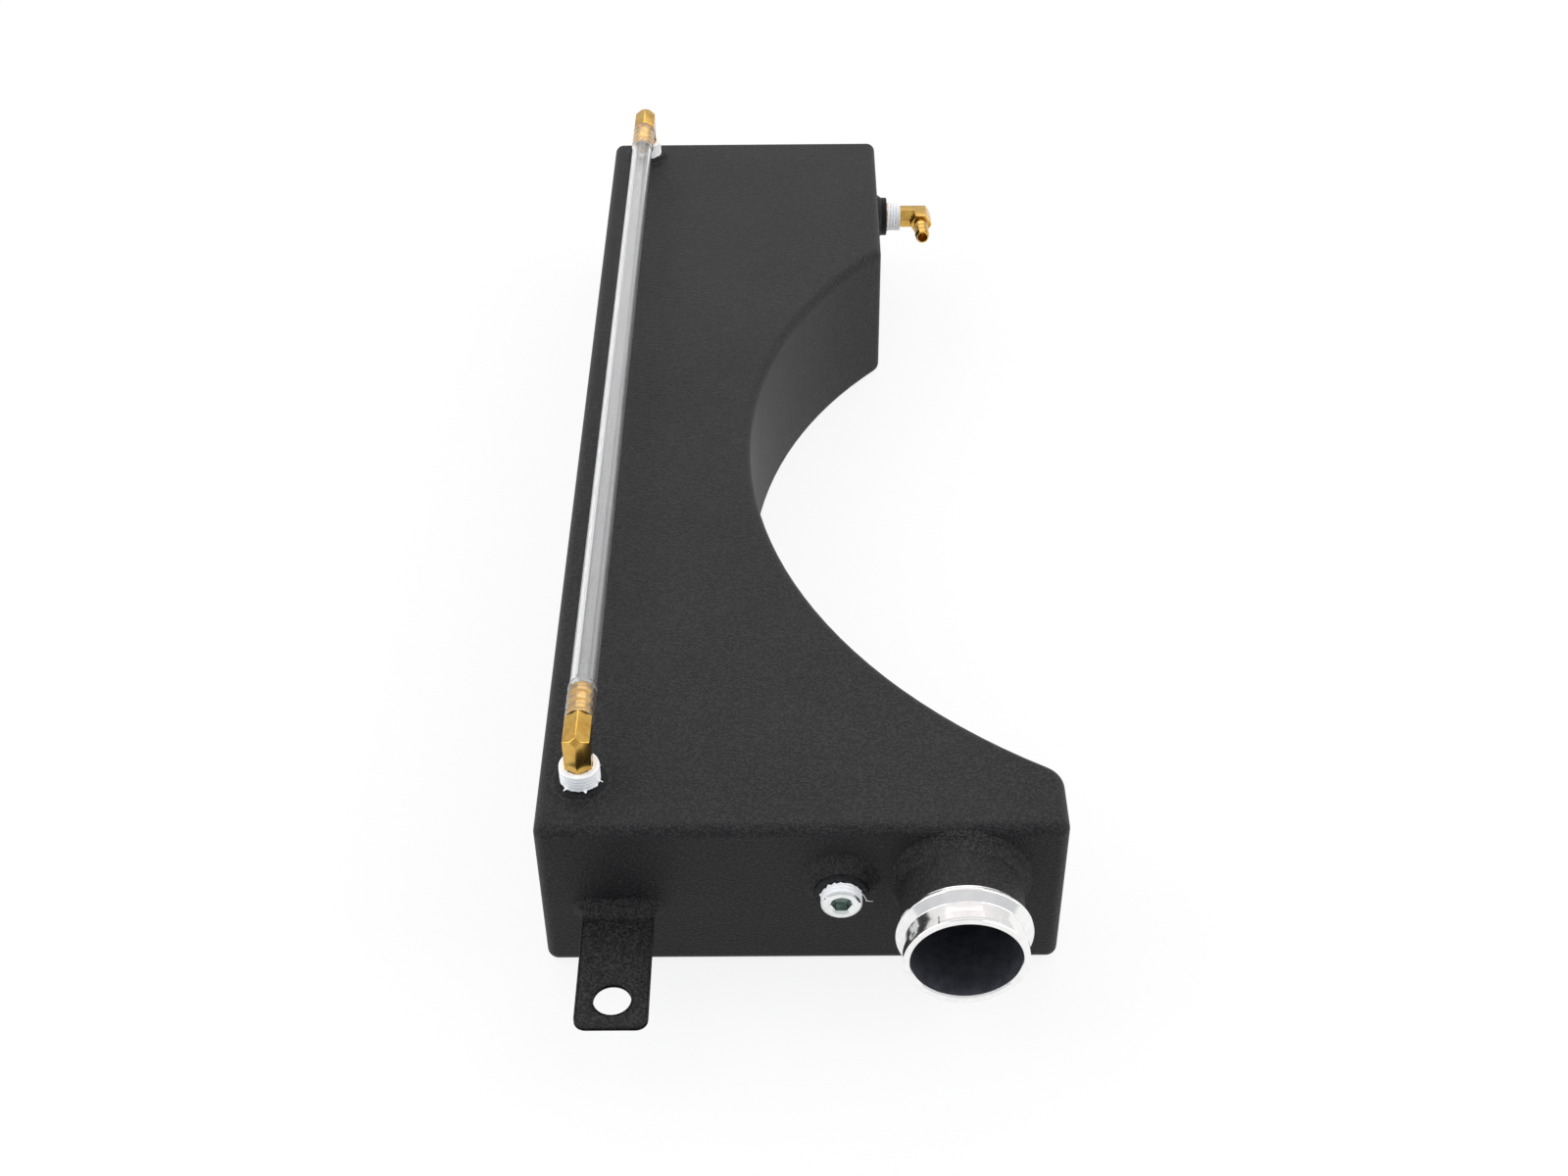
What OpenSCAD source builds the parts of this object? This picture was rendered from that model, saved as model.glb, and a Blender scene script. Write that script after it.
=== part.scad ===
/* [Tank body] */
// Width across the front wall
body_w = 182.5; // [170:0.5:200]
// Width across the back wall
back_w = 131; // [115:1:150]
// Length from the front wall to the back wall
body_l = 472; // [440:1:520]
// Height from the bottom panel to the top panel
body_h = 69; // [66:1:90]
// Thickness of the aluminium sheet
sheet_t = 2.5; // [2:0.25:3]
// Outer radius of the folds and of the ground corner welds
edge_r = 4; // [3.5:0.25:5]
// Radius of the round cut-out in the right side
arc_r = 217.5; // [200:0.5:235]
// Distance from the left wall to the centre of the cut-out
arc_x = 289; // [270:0.5:310]
// Distance from the front wall to the centre of the cut-out
arc_y = 217.5; // [205:0.5:235]
// Radius where the right side turns into the cut-out
side_turn_r = 10; // [6:0.5:16]
// Radius where the right side turns out of the cut-out at the back
heel_turn_r = 6; // [5.5:0.5:10]

/* [Filler neck] */
// Distance from the left wall to the neck axis
neck_x = 146; // [120:0.5:150]
// Height of the neck axis above the bottom
neck_z = 42.5; // [32:0.5:43]
// Outer radius of the neck tube
neck_r = 21.4; // [20:0.1:21.5]
// Radius of the bore
neck_bore_r = 18.7; // [14:0.1:19]
// Distance that the mouth stands out from the front wall
neck_len = 35.4; // [32:0.1:50]
// Outer radius of the stop ring
ring_r = 23.4; // [22.5:0.1:26]
// Distance from the front wall to the edge of the stop ring
ring_at = 23.1; // [12:0.1:24]
// Width of the flat edge of the stop ring
ring_edge = 0.8; // [0.4:0.1:2]
// Radius of the groove between the ring and the lip
groove_r = 20.6; // [19.8:0.1:20.9]
// Length of the lip at the mouth
lip_len = 3.8; // [2:0.1:5]
// Outer radius of the two locking lugs
lug_r = 22.3; // [21.8:0.1:24]
// Angle that each locking lug spans
lug_angle = 60; // [30:1:80]
// Leg of the weld round the neck on the front wall
neck_weld_leg = 3.2; // [2:0.1:3.5]
// Leg of the weld round the neck along the neck
neck_weld_rise = 4.6; // [2:0.1:8]

/* [Weld bungs] */
// Outer radius of a threaded bung
bung_r = 9.5; // [9:0.1:11]
// Radius of the part of a bung that passes through the sheet
spigot_r = 8.4; // [8:0.1:8.8]
// Radius of the pipe thread in a bung
bung_bore_r = 6.9; // [6.6:0.05:7.2]
// Distance that the top bungs stand above the top panel
bung_out_top = 1.5; // [1:0.1:4]
// Distance that the wall bungs stand out from their wall
bung_out_wall = 6.3; // [3:0.1:10]
// Depth that a bung reaches inside past the sheet
bung_in = 4; // [2:0.5:8]
// Leg of the weld round a top bung
top_weld_leg = 1.2; // [0.8:0.1:1.4]
// Leg of the weld round a wall bung
wall_weld_leg = 4.2; // [1.5:0.1:5]

/* [Port positions] */
// Distance from the left wall to the lower sight port
lower_x = 15; // [14.8:0.1:25]
// Distance from the front wall to the lower sight port
lower_y = 23.4; // [15:0.1:60]
// Distance from the left wall to the upper sight port
upper_x = 16.5; // [14.8:0.1:25]
// Distance from the back wall to the upper sight port
upper_back = 13; // [12.5:0.1:60]
// Distance from the back wall to the side port
side_back = 17; // [16:0.1:60]
// Height of the side port above the bottom
side_z = 35; // [20:0.5:48]
// Angle that the side elbow is turned up from level
side_tilt = 7; // [0:1:40]
// Distance from the left wall to the drain plug
plug_x = 104.8; // [60:0.1:108]
// Height of the drain plug above the bottom
plug_z = 42.5; // [20:0.5:48]

/* [Fittings] */
// Radius over the thread of a reducer bushing
bushing_r = 6.8; // [6.4:0.05:6.85]
// Length of bushing that shows above its bung
bushing_out = 6.6; // [3:0.1:9]
// Depth that a bushing or the plug is screwed in
thread_in = 6; // [3:0.5:8]
// Thickness of the sealing tape on the threads
tape_t = 0.3; // [0.1:0.05:0.5]
// Width across the flats of an elbow
elbow_flats = 9.5; // [9:0.1:11]
// Distance from the seat of an elbow to the axis of its barb
elbow_rise = 10.3; // [9:0.1:14]
// Distance from the thread axis to the shoulder of the barb
elbow_reach = 10.6; // [8:0.1:14]
// Cut across the outer corner of an elbow
elbow_bevel = 2.4; // [1:0.1:4]
// Radius of the thread of an elbow
elbow_thread_r = 5.1; // [4.5:0.1:5.2]
// Radius of the water way through the barb
way_r = 2.2; // [1.5:0.1:2.4]
// Radius of the water way through the thread of an elbow
thread_way_r = 3; // [2.5:0.1:3.5]
// Length of the barb
barb_len = 15.4; // [12:0.1:20]
// Radius over the ridges of the barb
barb_r = 3.6; // [3.3:0.05:3.9]
// Radius between the ridges of the barb
barb_root_r = 3; // [2.8:0.05:3.1]
// Number of ridges on the barb
barb_ridges = 3; // [2:1:4]
// Outer radius of the sight tube
tube_r = 4.75; // [4.4:0.05:5]
// Inner radius of the sight tube
tube_bore_r = 3.2; // [2.8:0.05:3.3]
// Radius over the plug
plug_r = 6.8; // [6.4:0.05:6.85]
// Distance that the plug stands out of its bung
plug_out = 4.7; // [2:0.1:6]
// Width across the flats of the socket in the plug
socket_flats = 6.35; // [5:0.05:8]
// Depth of the socket in the plug
socket_depth = 5; // [3:0.5:8]

/* [Mounting tab] */
// Width of the tab
tab_w = 25; // [20:0.5:35]
// Length of the tab from the front wall
tab_len = 51; // [35:0.5:70]
// Thickness of the tab
tab_t = 2.5; // [2:0.25:4]
// Distance from the left wall to the middle of the tab
tab_x = 27.3; // [22:0.1:60]
// Height of the top of the tab above the bottom
tab_z = 29.2; // [15:0.1:40]
// Radius of the front corners of the tab
tab_corner_r = 4; // [1:0.5:8]
// Radius of the bolt hole in the tab
tab_hole_r = 6.4; // [3:0.1:8]
// Distance from the front wall to the middle of the bolt hole
tab_hole_at = 39.4; // [20:0.1:42]
// Leg of the weld along the top of the tab
tab_weld_leg = 4.4; // [2:0.1:6]
// Leg of the weld along the underside of the tab
tab_under_leg = 2; // [1:0.1:4]
// Length of weld that runs on past each side of the tab
tab_weld_over = 4.6; // [1:0.1:6]

/* [Hidden] */
$fn = 96;

// Clearance where one turned piece sits inside another
fit_gap = 0.05;
// How much thinner a corner weld is in a small turn
seam_shy = 0.02;
// Clearance between the barb ridges and the stretched tube
hose_gap = 0.05;
// Small overlap that makes a cut run clear of a face
over = 1;
// A length longer than the whole tank
far = body_l * 2;

black_paint = "#2c2c2e";
bare_aluminium = "#c9ccd1";
brass_colour = "#b98d35";
tape_colour = "#f5f6f7";
zinc_colour = "#b9bdc0";

// Where the rounded turns of the right side have their centres
turn_x = body_w - side_turn_r;
turn_y = arc_y - sqrt(pow(arc_r + side_turn_r, 2) - pow(arc_x - turn_x, 2));
heel_x = back_w - heel_turn_r;
heel_y = arc_y + sqrt(pow(arc_r + heel_turn_r, 2) - pow(arc_x - heel_x, 2));
turn_angle = atan2(arc_y - turn_y, arc_x - turn_x);
heel_angle = atan2(heel_y - arc_y, arc_x - heel_x);

upper_y = body_l - upper_back;
side_y = body_l - side_back;
top_seat_z = body_h + bung_out_top + bushing_out + tape_t;
side_seat_x = back_w + bung_out_wall + bushing_out + tape_t;
tube_z = top_seat_z + elbow_rise;
run_x = upper_x - lower_x;
run_y = upper_y - lower_y;
tube_skew = atan2(run_x, run_y);
tube_len = sqrt(run_x * run_x + run_y * run_y) - 2 * elbow_reach;
hex_r = elbow_flats / sqrt(3);
ridge_len = barb_len / (barb_ridges + 0.5);
tube_swell = barb_r + hose_gap - tube_bore_r;
ring_back = ring_r - neck_r;
cone_end = ring_at + ring_edge + ring_r - groove_r;

// Moves the tank so that the origin is under the middle of its whole box
module to_frame() {
    translate([-body_w / 2, -(body_l - tab_len) / 2, 0]) children();
}

// Turns a shape drawn upwards so that it stands out of the front wall
module on_front(x, z) {
    translate([x, 0, z]) rotate([90, 0, 0]) children();
}

// Turns a shape drawn upwards so that it stands out of the right wall at the back
module on_side(y, z) {
    translate([back_w, y, z]) rotate([0, 90, 0]) children();
}

module on_top(x, y) {
    translate([x, y, body_h]) children();
}

// Plan of the tank, drawn in by a distance on the left and right sides. With shy above zero
// the two turns stand back by that much, so that they end in a small clean step
module plan(inset, y_front, y_back, shy = 0) {
    difference() {
        polygon([[inset, y_front], [body_w - inset, y_front], [body_w - inset, turn_y], [turn_x, turn_y],
            [arc_x, arc_y], [heel_x, heel_y], [back_w - inset, heel_y], [back_w - inset, y_back],
            [inset, y_back]]);
        translate([arc_x, arc_y]) circle(r = arc_r + inset, $fn = 360);
    }
    translate([turn_x, turn_y]) circle(r = side_turn_r - inset - shy);
    translate([heel_x, heel_y]) circle(r = heel_turn_r - inset - shy);
}

// Section of the top, front and bottom panels, which are one folded sheet
module fold_section(inset) {
    translate([edge_r, inset]) square([body_l, body_h - 2 * inset]);
    translate([inset, edge_r]) square([body_l, body_h - 2 * edge_r]);
    for (z = [edge_r, body_h - edge_r]) translate([edge_r, z]) circle(r = edge_r - inset);
}

// Solid with the outer form of the folded front, used to seat what is welded on it
module front_form() {
    rotate([90, 0, 90]) linear_extrude(body_w) fold_section(0);
}

module folded_shell() {
    color(black_paint) to_frame() difference() {
        intersection() {
            rotate([90, 0, 90]) linear_extrude(body_w) difference() {
                fold_section(0);
                fold_section(sheet_t);
            }
            linear_extrude(body_h) plan(edge_r, 0, body_l - edge_r, seam_shy);
        }
        on_front(neck_x, neck_z) translate([0, 0, -sheet_t - over])
            cylinder(r = neck_r + fit_gap, h = sheet_t + 2 * over);
        on_front(plug_x, plug_z) spigot_hole();
        on_top(lower_x, lower_y) spigot_hole();
        on_top(upper_x, upper_y) spigot_hole();
    }
}

module spigot_hole() {
    translate([0, 0, -sheet_t - over]) cylinder(r = spigot_r + fit_gap, h = sheet_t + 2 * over);
}

module left_wall() {
    color(black_paint) to_frame() translate([0, edge_r, edge_r])
        cube([sheet_t, body_l - 2 * edge_r, body_h - 2 * edge_r]);
}

// The right side is one strip, bent at both ends and rolled round the cut-out
module side_strip() {
    color(black_paint) to_frame() difference() {
        translate([0, 0, edge_r]) linear_extrude(body_h - 2 * edge_r) difference() {
            plan(0, edge_r, body_l - edge_r);
            plan(sheet_t, 0, body_l);
            square([back_w / 3, body_l]);
        }
        on_side(side_y, side_z) spigot_hole();
    }
}

module back_plate() {
    color(black_paint) to_frame() translate([edge_r, body_l - sheet_t, edge_r])
        cube([back_w - 2 * edge_r, sheet_t, body_h - 2 * edge_r]);
}

// Quarter of a disc: the section of a corner weld after it is ground round
module quarter(side) {
    intersection() {
        circle(r = edge_r);
        translate([side > 0 ? 0 : -edge_r, 0]) square(edge_r);
    }
}

// Corner weld along the top edge of a straight wall that runs towards the back
module seam_run(x, y_start, y_end, side) {
    translate([x, y_end, body_h - edge_r]) rotate([90, 0, 0]) linear_extrude(y_end - y_start) quarter(side);
}

// Corner weld along the top edge of a small turn, a hair thinner than the straight
// welds so that each end can run a little way into its neighbour
module seam_turn(x, y, radius, start, sweep) {
    lap = 2;
    translate([x, y, body_h - edge_r]) rotate([0, 0, start - lap]) rotate_extrude(angle = sweep + 2 * lap)
        translate([radius, 0]) intersection() {
            circle(r = edge_r - seam_shy);
            translate([seam_shy, seam_shy]) square(edge_r);
        }
}

// Corner weld along the top edge of the cut-out
module seam_arc() {
    translate([arc_x, arc_y, body_h - edge_r]) rotate([0, 0, 180 - heel_angle])
        rotate_extrude(angle = heel_angle + turn_angle, $fn = 180) translate([arc_r + edge_r, 0]) quarter(-1);
}

// Weld up a front corner, with its rounded ends
module corner_post(x, side) {
    translate([x, edge_r, edge_r]) linear_extrude(body_h - 2 * edge_r)
        rotate(side > 0 ? -90 : 180) quarter(1);
}

module corner_ball(x, y, side, front) {
    translate([x, y, body_h - edge_r]) intersection() {
        sphere(r = edge_r);
        translate([side > 0 ? 0 : -edge_r, front ? -edge_r : 0, 0]) cube(edge_r);
    }
}

// Draws the top welds, then the same welds turned over for the bottom
module both_edges() {
    children();
    translate([0, 0, body_h]) mirror([0, 0, 1]) children();
}

module left_seam() {
    color(black_paint) to_frame() {
        both_edges() {
            seam_run(edge_r, edge_r, body_l - edge_r, -1);
            corner_ball(edge_r, edge_r, -1, true);
        }
        corner_post(edge_r, -1);
    }
}

module side_seam() {
    color(black_paint) to_frame() {
        both_edges() {
            corner_ball(body_w - edge_r, edge_r, 1, true);
            seam_run(body_w - edge_r, edge_r, turn_y, 1);
            seam_turn(turn_x, turn_y, side_turn_r - edge_r, 0, turn_angle);
            seam_arc();
            seam_turn(heel_x, heel_y, heel_turn_r - edge_r, -heel_angle, heel_angle);
            seam_run(back_w - edge_r, heel_y, body_l - edge_r, 1);
        }
        corner_post(body_w - edge_r, 1);
    }
}

module back_seam() {
    inner_w = back_w - 2 * edge_r;
    inner_h = body_h - 2 * edge_r;
    color(black_paint) to_frame() {
        both_edges() {
            translate([edge_r, body_l - edge_r, body_h - edge_r]) rotate([90, 0, 90]) linear_extrude(inner_w)
                quarter(1);
            corner_ball(edge_r, body_l - edge_r, -1, false);
            corner_ball(back_w - edge_r, body_l - edge_r, 1, false);
        }
        translate([edge_r, body_l - edge_r, edge_r]) linear_extrude(inner_h) rotate(90) quarter(1);
        translate([back_w - edge_r, body_l - edge_r, edge_r]) linear_extrude(inner_h) quarter(1);
    }
}

module filler_neck() {
    color(bare_aluminium) to_frame() on_front(neck_x, neck_z) {
        rotate_extrude() polygon([[neck_bore_r, -sheet_t], [neck_r, -sheet_t],
            [neck_r, ring_at - ring_back], [ring_r, ring_at], [ring_r, ring_at + ring_edge],
            [groove_r, cone_end], [groove_r, neck_len - lip_len],
            [neck_r, neck_len - lip_len], [neck_r, neck_len], [neck_bore_r, neck_len]]);
        for (half = [0, 180]) rotate(90 + half - lug_angle / 2)
            rotate_extrude(angle = lug_angle) polygon([[neck_bore_r, neck_len - lip_len],
                [lug_r, neck_len - lip_len], [lug_r, neck_len], [neck_bore_r, neck_len]]);
    }
}

// Fillet of weld metal round a turned piece: leg along the wall, rise along the piece
module weld_ring(inner_r, leg, rise, skirt) {
    rotate_extrude() polygon([[inner_r, -skirt], [inner_r + leg, -skirt], [inner_r + leg, rise * 0.12],
        [inner_r + leg * 0.75, rise * 0.4], [inner_r + leg * 0.35, rise * 0.75],
        [inner_r + leg * 0.05, rise], [inner_r, rise]]);
}

module neck_weld() {
    color(black_paint) to_frame() difference() {
        on_front(neck_x, neck_z) weld_ring(neck_r + fit_gap, neck_weld_leg, neck_weld_rise, edge_r);
        front_form();
    }
}

module mount_tab() {
    color(black_paint) to_frame() translate([tab_x, 0, tab_z - tab_t]) linear_extrude(tab_t) difference() {
        union() {
            translate([-tab_w / 2, tab_corner_r - tab_len]) square([tab_w, tab_len - tab_corner_r]);
            translate([tab_corner_r - tab_w / 2, -tab_len]) square([tab_w - 2 * tab_corner_r, tab_len]);
            for (side = [-1, 1]) translate([side * (tab_w / 2 - tab_corner_r), tab_corner_r - tab_len])
                circle(r = tab_corner_r);
        }
        translate([0, -tab_hole_at]) circle(r = tab_hole_r);
    }
}

// Fillet section in the corner between the front wall and a flat surface
module fillet_section(leg) {
    polygon([[0, 0], [leg, 0], [leg, leg * 0.12], [leg * 0.75, leg * 0.5], [leg * 0.4, leg * 0.85],
        [leg * 0.1, leg], [0, leg]]);
}

module tab_weld() {
    bead_len = tab_w + 2 * tab_weld_over;
    color(black_paint) to_frame() translate([tab_x - bead_len / 2, 0, tab_z]) difference() {
        union() {
            rotate([90, 0, 90]) linear_extrude(bead_len) mirror([1, 0]) fillet_section(tab_weld_leg);
            translate([0, 0, -tab_t]) rotate([90, 0, 90]) linear_extrude(bead_len)
                mirror([1, 0]) mirror([0, 1]) fillet_section(tab_under_leg);
            translate([0, -tab_under_leg, -tab_t]) cube([bead_len, tab_under_leg, tab_t]);
        }
        translate([tab_weld_over, -far, -tab_t]) cube([tab_w, far, tab_t]);
    }
}

// Threaded bung: outer collar, spigot through the sheet, and bore
module bung(out) {
    difference() {
        union() {
            cylinder(r = bung_r, h = out);
            translate([0, 0, -sheet_t - bung_in]) cylinder(r = spigot_r, h = sheet_t + bung_in + out / 2);
        }
        translate([0, 0, -sheet_t - bung_in - over])
            cylinder(r = bung_bore_r, h = sheet_t + bung_in + out + 2 * over);
    }
}

module lower_bung() {
    color(black_paint) to_frame() on_top(lower_x, lower_y) bung(bung_out_top);
}

module upper_bung() {
    color(black_paint) to_frame() on_top(upper_x, upper_y) bung(bung_out_top);
}

module side_bung() {
    color(black_paint) to_frame() on_side(side_y, side_z) bung(bung_out_wall);
}

module plug_bung() {
    color(black_paint) to_frame() on_front(plug_x, plug_z) bung(bung_out_wall);
}

module bung_welds() {
    color(black_paint) to_frame() {
        on_top(lower_x, lower_y) weld_ring(bung_r + fit_gap, top_weld_leg, top_weld_leg, 0);
        on_top(upper_x, upper_y) weld_ring(bung_r + fit_gap, top_weld_leg, top_weld_leg, 0);
        on_side(side_y, side_z) weld_ring(bung_r + fit_gap, wall_weld_leg, wall_weld_leg, 0);
        on_front(plug_x, plug_z) weld_ring(bung_r + fit_gap, wall_weld_leg, wall_weld_leg, 0);
    }
}

// Reducer bushing that takes the small thread of an elbow, drawn from the mouth of its bung
module bushing() {
    difference() {
        translate([0, 0, -thread_in]) cylinder(r = bushing_r, h = thread_in + bushing_out);
        translate([0, 0, -thread_in - over])
            cylinder(r = elbow_thread_r + fit_gap, h = thread_in + bushing_out + 2 * over);
    }
}

module lower_bushing() {
    color(brass_colour) to_frame() on_top(lower_x, lower_y) translate([0, 0, bung_out_top]) bushing();
}

module upper_bushing() {
    color(brass_colour) to_frame() on_top(upper_x, upper_y) translate([0, 0, bung_out_top]) bushing();
}

module side_bushing() {
    color(brass_colour) to_frame() on_side(side_y, side_z) translate([0, 0, bung_out_wall]) bushing();
}

// Sealing tape wound on a thread and turned in over its end
module tape_cap(thread_r, length, mouth_r) {
    rotate_extrude() polygon([[thread_r + fit_gap, 0], [thread_r + tape_t + fit_gap, 0],
        [thread_r + tape_t + fit_gap, length + tape_t], [mouth_r, length + tape_t], [mouth_r, length],
        [thread_r + fit_gap, length]]);
}

module bushing_tape() {
    tape_cap(bushing_r, bushing_out, elbow_thread_r + fit_gap);
}

module lower_tape() {
    color(tape_colour) to_frame() on_top(lower_x, lower_y) translate([0, 0, bung_out_top]) bushing_tape();
}

module upper_tape() {
    color(tape_colour) to_frame() on_top(upper_x, upper_y) translate([0, 0, bung_out_top]) bushing_tape();
}

module side_tape() {
    color(tape_colour) to_frame() on_side(side_y, side_z) translate([0, 0, bung_out_wall]) bushing_tape();
}

module plug_tape() {
    color(tape_colour) to_frame() on_front(plug_x, plug_z) translate([0, 0, bung_out_wall]) difference() {
        cylinder(r = plug_r + tape_t + fit_gap, h = plug_out - 2 * tape_t);
        translate([0, 0, -over]) cylinder(r = plug_r + fit_gap, h = plug_out + 2 * over);
    }
}

module drain_plug() {
    socket_r = socket_flats / sqrt(3);
    bevel = 2 * tape_t;
    color(zinc_colour) to_frame() on_front(plug_x, plug_z) translate([0, 0, bung_out_wall]) difference() {
        rotate_extrude() polygon([[0, -thread_in], [plug_r, -thread_in], [plug_r, plug_out - bevel],
            [plug_r - bevel, plug_out], [0, plug_out]]);
        translate([0, 0, plug_out - socket_depth]) cylinder(r = socket_r, h = socket_depth + over, $fn = 6);
    }
}

// Barb with saw-tooth ridges, from its shoulder to its tip
module barb() {
    tooth = [for (i = [0:barb_ridges - 1]) let (t = barb_len - (i + 1) * ridge_len)
        each [[barb_root_r, t + ridge_len], [barb_r, t + ridge_len * 0.25], [barb_r, t], [barb_root_r, t]]];
    rotate_extrude() polygon(concat([[0, barb_len], [barb_root_r - 0.3, barb_len]],
        [for (p = tooth) if (p[1] < barb_len) p], [[barb_root_r, -over], [0, -over]]));
}

// Elbow drawn from its seat: the thread points down and the barb points to the back
module elbow() {
    corner_cut = (2 * hex_r - elbow_bevel) / sqrt(2);
    difference() {
        union() {
            translate([0, 0, -thread_in]) cylinder(r = elbow_thread_r, h = thread_in);
            translate([0, 0, elbow_rise]) intersection() {
                union() {
                    intersection() {
                        translate([0, 0, -elbow_rise]) rotate(30)
                            cylinder(r = hex_r, h = elbow_rise + 2 * hex_r, $fn = 6);
                        rotate([-45, 0, 0]) translate([-hex_r, -far / 2, -far]) cube([2 * hex_r, far, far]);
                    }
                    intersection() {
                        translate([0, -2 * hex_r, 0]) rotate([-90, 0, 0]) rotate(30)
                            cylinder(r = hex_r, h = elbow_reach + 2 * hex_r, $fn = 6);
                        rotate([-45, 0, 0]) translate([-hex_r, -far / 2, 0]) cube([2 * hex_r, far, far]);
                    }
                }
                rotate([45, 0, 0]) translate([-hex_r, -far / 2, corner_cut - far])
                    cube([2 * hex_r, far, far]);
            }
            translate([0, elbow_reach, elbow_rise]) rotate([-90, 0, 0]) barb();
        }
        translate([0, 0, -thread_in - over])
            cylinder(r = thread_way_r, h = thread_in + elbow_rise + way_r / 2 + over);
        translate([0, 0, elbow_rise]) rotate([-90, 0, 0])
            cylinder(r = way_r, h = elbow_reach + barb_len + over);
    }
}

module lower_elbow() {
    color(brass_colour) to_frame() translate([lower_x, lower_y, top_seat_z]) rotate(-tube_skew) elbow();
}

module upper_elbow() {
    color(brass_colour) to_frame() translate([upper_x, upper_y, top_seat_z]) rotate(180 - tube_skew) elbow();
}

module side_elbow() {
    color(brass_colour) to_frame() translate([side_seat_x, side_y, side_z]) rotate([0, 90, 0])
        rotate(180 - side_tilt) elbow();
}

// Clear tube pushed over both barbs, which stretch it a little
module sight_tube() {
    ease = 3 * tube_swell;
    swell_end = barb_len + ease;
    color([0.92, 0.95, 0.97, 0.4]) to_frame() translate([lower_x, lower_y, tube_z])
        rotate([-90, 0, -tube_skew]) translate([0, 0, elbow_reach]) rotate_extrude() polygon([
            [tube_bore_r + tube_swell, 0], [tube_r + tube_swell, 0], [tube_r + tube_swell, barb_len],
            [tube_r, swell_end], [tube_r, tube_len - swell_end],
            [tube_r + tube_swell, tube_len - barb_len], [tube_r + tube_swell, tube_len],
            [tube_bore_r + tube_swell, tube_len], [tube_bore_r + tube_swell, tube_len - barb_len],
            [tube_bore_r, tube_len - swell_end], [tube_bore_r, swell_end],
            [tube_bore_r + tube_swell, barb_len]]);
}

folded_shell();
left_wall();
side_strip();
back_plate();
left_seam();
side_seam();
back_seam();
filler_neck();
neck_weld();
mount_tab();
tab_weld();
lower_bung();
upper_bung();
side_bung();
plug_bung();
bung_welds();
lower_bushing();
upper_bushing();
side_bushing();
lower_tape();
upper_tape();
side_tape();
plug_tape();
drain_plug();
lower_elbow();
upper_elbow();
side_elbow();
sight_tube();
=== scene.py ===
import math

import bmesh
import bpy
from mathutils import Matrix, Vector, noise


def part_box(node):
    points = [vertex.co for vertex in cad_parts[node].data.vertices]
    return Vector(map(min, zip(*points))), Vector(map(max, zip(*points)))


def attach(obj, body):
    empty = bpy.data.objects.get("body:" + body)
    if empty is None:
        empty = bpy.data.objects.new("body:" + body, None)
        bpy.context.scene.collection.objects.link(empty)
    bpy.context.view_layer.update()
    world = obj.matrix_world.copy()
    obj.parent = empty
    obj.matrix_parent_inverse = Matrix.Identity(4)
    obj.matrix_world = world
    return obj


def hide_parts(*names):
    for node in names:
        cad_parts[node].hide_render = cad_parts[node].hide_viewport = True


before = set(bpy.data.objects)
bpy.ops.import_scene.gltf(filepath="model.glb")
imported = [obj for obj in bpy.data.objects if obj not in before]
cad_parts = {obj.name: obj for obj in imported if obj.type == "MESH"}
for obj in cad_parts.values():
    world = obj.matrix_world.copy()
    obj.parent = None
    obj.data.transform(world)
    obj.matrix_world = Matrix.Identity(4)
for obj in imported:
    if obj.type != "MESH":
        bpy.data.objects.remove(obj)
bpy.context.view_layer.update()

mm = 0.001
print("frame loaded:", len(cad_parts), "nodes")


# Camera, matched to the photo

cameraFit = {
    "place": (-1.22, -691.05, 591.61),  # mm
    "down": 40.803,  # degrees below level
    "turn": 0.444,
    "roll": -0.664,
    "lens": 48.02,
}


def makeCamera(fit):
    data = bpy.data.cameras.new("photoCamera")
    data.sensor_width = 36
    data.lens = fit["lens"]
    data.clip_start, data.clip_end = 0.01, 50
    camera = bpy.data.objects.new("photoCamera", data)
    bpy.context.scene.collection.objects.link(camera)
    turn = Matrix.Rotation(math.radians(fit["turn"]), 4, "Z")
    pitch = Matrix.Rotation(math.radians(90 - fit["down"]), 4, "X")
    roll = Matrix.Rotation(math.radians(fit["roll"]), 4, "Z")
    camera.matrix_world = Matrix.Translation(Vector(fit["place"]) * mm) @ turn @ pitch @ roll
    bpy.context.scene.camera = camera


# Node helpers

def newMaterial(name):
    material = bpy.data.materials.new(name)
    material.use_nodes = True
    tree = material.node_tree
    return material, tree, tree.nodes["Principled BSDF"]


def addNode(tree, kind, **values):
    node = tree.nodes.new(kind)
    for key, value in values.items():
        if key in node.inputs:
            node.inputs[key].default_value = value
        else:
            setattr(node, key, value)
    return node


def maths(tree, operation, a, b=None, clamp=False):
    node = tree.nodes.new("ShaderNodeMath")
    node.operation = operation
    node.use_clamp = clamp
    for socket, value in zip(node.inputs, (a, b)):
        if value is None:
            continue
        if isinstance(value, (int, float)):
            socket.default_value = value
        else:
            tree.links.new(value, socket)
    return node.outputs[0]


def mixColour(tree, factor, a, b):
    node = tree.nodes.new("ShaderNodeMix")
    node.data_type = "RGBA"
    for socket, value in zip((node.inputs[0], node.inputs[6], node.inputs[7]), (factor, a, b)):
        if isinstance(value, bpy.types.NodeSocket):
            tree.links.new(value, socket)
        else:
            socket.default_value = value
    return node.outputs[2]


def ramp(tree, value, low, high):
    node = addNode(tree, "ShaderNodeMapRange")
    node.inputs["From Min"].default_value = low
    node.inputs["From Max"].default_value = high
    tree.links.new(value, node.inputs["Value"])
    return node.outputs["Result"]


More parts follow.
